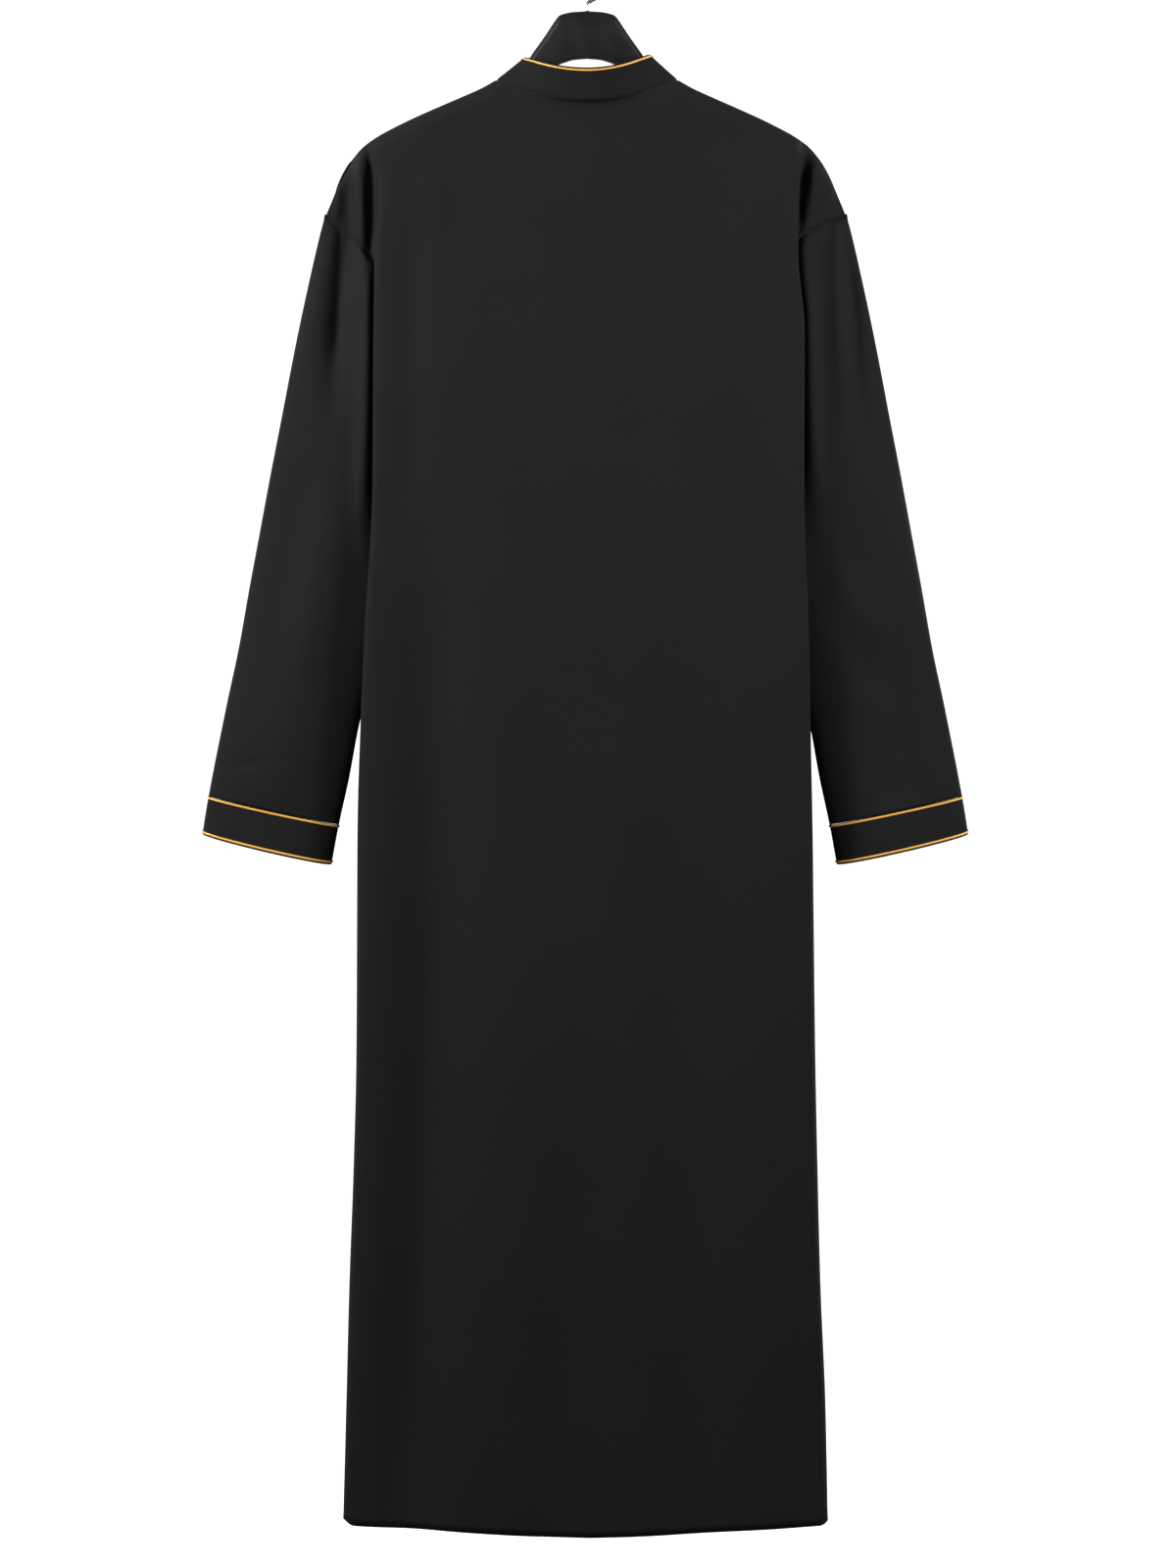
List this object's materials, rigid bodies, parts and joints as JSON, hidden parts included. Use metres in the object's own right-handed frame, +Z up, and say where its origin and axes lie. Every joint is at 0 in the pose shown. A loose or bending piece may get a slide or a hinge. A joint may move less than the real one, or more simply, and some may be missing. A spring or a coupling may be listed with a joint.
{
  "type": "thobe on a hanger",
  "caption": "Long straight robe with long sleeves, a low stand collar and piped collar and cuffs, hanging on a broad-shouldered hanger.",
  "frame": {"origin": "the point on the inside of the hook's bend that bears on a rail", "axes": "+Z up, the garment's back faces -Y and its front +Y, +X to the right as seen from behind"},
  "size_m": [0.7469, 0.1018, 1.5364],
  "materials": {
    "robe_cloth": "fine matt black suiting",
    "satin_piping": "golden satin",
    "hanger_plastic": "black moulded plastic",
    "hook_steel": "plated steel wire"
  },
  "bodies": {
    "root": {"back_panel": "robe_cloth", "front_panel": "robe_cloth", "placket": "robe_cloth", "collar": "robe_cloth", "collar_piping": "satin_piping", "sleeve_left": "robe_cloth", "sleeve_right": "robe_cloth", "cuff_left": "robe_cloth", "cuff_right": "robe_cloth", "cuff_piping_upper_left": "satin_piping", "cuff_piping_lower_left": "satin_piping", "cuff_piping_upper_right": "satin_piping", "cuff_piping_lower_right": "satin_piping", "hanger": "hanger_plastic", "hook": "hook_steel"}
  },
  "joints": []
}
